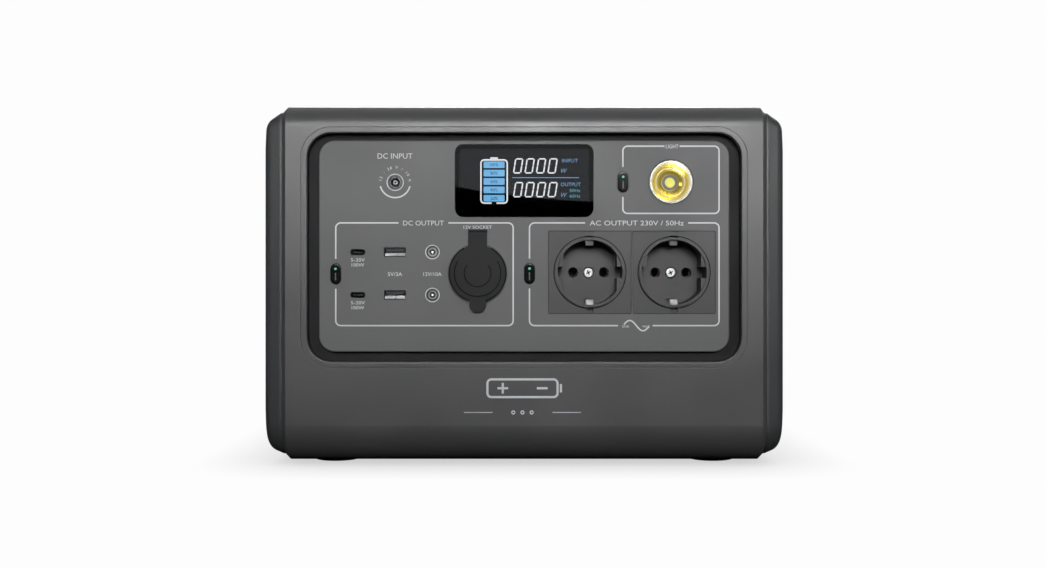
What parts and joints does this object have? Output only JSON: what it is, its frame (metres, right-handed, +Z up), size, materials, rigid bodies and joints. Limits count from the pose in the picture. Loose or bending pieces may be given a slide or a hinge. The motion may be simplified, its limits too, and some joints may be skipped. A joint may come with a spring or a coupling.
{
  "type": "portable power station",
  "caption": "Portable power station: boxy moulded case with rounded side covers, recessed control panel with screen, lamp, mains and low-voltage sockets, folding top handle.",
  "frame": {"origin": "on the ground under the middle of the case", "axes": "+X to the right of someone facing the control panel, +Y to the back, +Z up"},
  "size_m": [0.32, 0.2161, 0.221],
  "materials": {
    "aluminium": "extruded",
    "black_plastic": "moulded",
    "brass": "stamped",
    "button_plastic": "polished",
    "cable": "insulated",
    "capacitor_sleeve": "sleeved",
    "cell_case": "sleeved",
    "circuit_board": "solder mask",
    "clear_plastic": "polished",
    "copper": "enamelled winding",
    "cover_plastic": "moulded, fine texture",
    "dark_steel": "blackened",
    "foot_rubber": "moulded",
    "nickel": "nickel plated",
    "panel_plastic": "moulded, fine texture",
    "phosphor": "phosphor",
    "reflector": "vacuum metallised",
    "rubber": "moulded",
    "sheet_steel": "galvanised",
    "shell_plastic": "moulded, fine texture",
    "socket_plastic": "moulded, satin",
    "trim_plastic": "moulded, black",
    "window_plastic": "polished, smoked",
    "zinc_steel": "zinc plated"
  },
  "bodies": {
    "case": {"battery_cells": "cell_case", "battery_leads": "cable", "bms_board": "circuit_board", "busbars": "nickel", "button_switches": "black_plastic", "cap_anchor": "rubber", "capacitors": "capacitor_sleeve", "car_socket_barrel": "nickel", "car_socket_bezel": "black_plastic", "car_socket_contact": "brass", "case_screws": "dark_steel", "cell_holder_front": "black_plastic", "cell_holder_rear": "black_plastic", "charging_coil": "copper", "charging_mat": "rubber", "chassis_plate": "sheet_steel", "chassis_screws": "zinc_steel", "control_panel": "panel_plastic", "cover_screws": "dark_steel", "dc_jacks": "nickel", "deck_plate": "sheet_steel", "display_module": "black_plastic", "earth_contacts_left": "nickel", "earth_contacts_right": "nickel", "feet": "foot_rubber", "front_shell": "shell_plastic", "handle_pins": "zinc_steel", "handle_tray": "trim_plastic", "heat_sink": "aluminium", "input_jack": "black_plastic", "inverter_board": "circuit_board", "lamp_bezel": "panel_plastic", "lamp_board": "circuit_board", "lamp_emitter": "phosphor", "lamp_lens": "clear_plastic", "lamp_reflector": "reflector", "lcd_window": "window_plastic", "left_cover": "cover_plastic", "left_fan_frame": "black_plastic", "mains_socket_left": "socket_plastic", "mains_socket_right": "socket_plastic", "panel_boards": "circuit_board", "panel_frame": "trim_plastic", "panel_screws": "zinc_steel", "pin_sleeves": "brass", "rear_shell": "shell_plastic", "right_cover": "cover_plastic", "right_fan_frame": "black_plastic", "socket_screws": "zinc_steel", "transformers": "copper", "usb_a_ports": "nickel", "usb_c_ports": "nickel"},
    "handle": {"handle": "shell_plastic"},
    "cap": {"car_socket_cap": "rubber"},
    "dc_push": {"dc_button": "button_plastic"},
    "ac_push": {"ac_button": "button_plastic"},
    "light_push": {"light_button": "button_plastic"},
    "left_fan": {"left_fan_rotor": "black_plastic"},
    "right_fan": {"right_fan_rotor": "black_plastic"}
  },
  "joints": [
    {"name": "handle_lift", "type": "hinge", "parent": "case", "child": "handle", "pos_m": [0, 0.041, 0.209], "axis": [-1, 0, 0], "range_deg": [0, 90]},
    {"name": "cap_swing", "type": "hinge", "parent": "case", "child": "cap", "pos_m": [-0.0279, -0.1072, 0.1404], "axis": [-1, 0, 0], "range_deg": [0, 110], "stiffness_Nm_per_rad": 0.001},
    {"name": "dc_press", "type": "slide", "parent": "case", "child": "dc_push", "axis": [0, 1, 0], "range_m": [0, 0.0008], "stiffness_N_per_m": 1500},
    {"name": "ac_press", "type": "slide", "parent": "case", "child": "ac_push", "axis": [0, 1, 0], "range_m": [0, 0.0008], "stiffness_N_per_m": 1500},
    {"name": "light_press", "type": "slide", "parent": "case", "child": "light_push", "axis": [0, 1, 0], "range_m": [0, 0.0008], "stiffness_N_per_m": 1500},
    {"name": "left_fan_spin", "type": "hinge", "parent": "case", "child": "left_fan", "pos_m": [-0.129, 0, 0.13], "axis": [1, 0, 0], "continuous": true},
    {"name": "right_fan_spin", "type": "hinge", "parent": "case", "child": "right_fan", "pos_m": [0.129, 0, 0.13], "axis": [1, 0, 0], "continuous": true}
  ]
}
